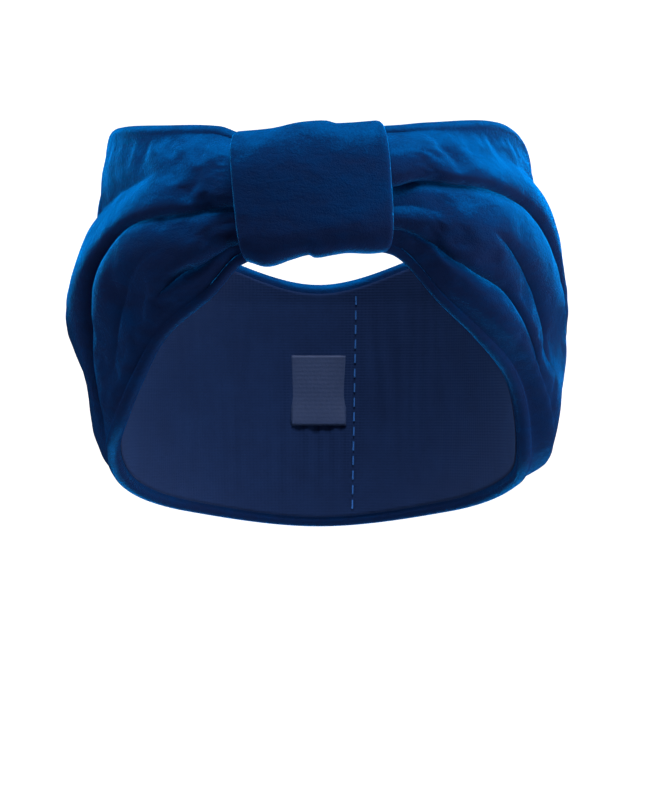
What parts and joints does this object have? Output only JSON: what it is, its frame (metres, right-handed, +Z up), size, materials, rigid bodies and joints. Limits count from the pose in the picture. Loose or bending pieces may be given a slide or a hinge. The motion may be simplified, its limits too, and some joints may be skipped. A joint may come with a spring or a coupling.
{
  "type": "knotted headband",
  "caption": "Wide two-layer velvet headband, pinched at the forehead by a flat loop and elasticated at the nape.",
  "frame": {"origin": "middle of the head opening, level with the middle of the band over the ears", "axes": "+Z up as worn, the wearer faces -Y, +X to the viewer's right when seen from the front"},
  "size_m": [0.1841, 0.2088, 0.1501],
  "materials": {
    "velvet": "velvet pile",
    "lining": "matt knit",
    "elastic": "woven elastic",
    "thread": "sewing thread",
    "label": "satin tape"
  },
  "bodies": {
    "front_band": {"outer_left": "velvet", "outer_right": "velvet", "lining_left": "lining", "lining_right": "lining", "gathered_centre": "velvet", "gathering_thread": "thread", "knot_loop": "velvet", "knot_loop_seam": "thread", "knot_tacks": "thread", "top_edge_seam": "thread", "lower_edge_seam": "thread"},
    "back_band": {"outer_back": "velvet", "lining_back": "lining", "back_elastic": "elastic", "elastic_tacks": "thread", "channel_stitches": "thread", "back_seam": "thread", "label_stitches": "thread"},
    "label": {"care_label": "label"}
  },
  "joints": [
    {"name": "back_stretch", "type": "slide", "parent": "front_band", "child": "back_band", "axis": [0, 1, 0], "range_m": [0, 0.025], "stiffness_N_per_m": 180},
    {"name": "label_flap", "type": "hinge", "parent": "back_band", "child": "label", "pos_m": [0, 0.089, -0.013], "axis": [-1, 0, 0], "range_deg": [0, 165]}
  ]
}
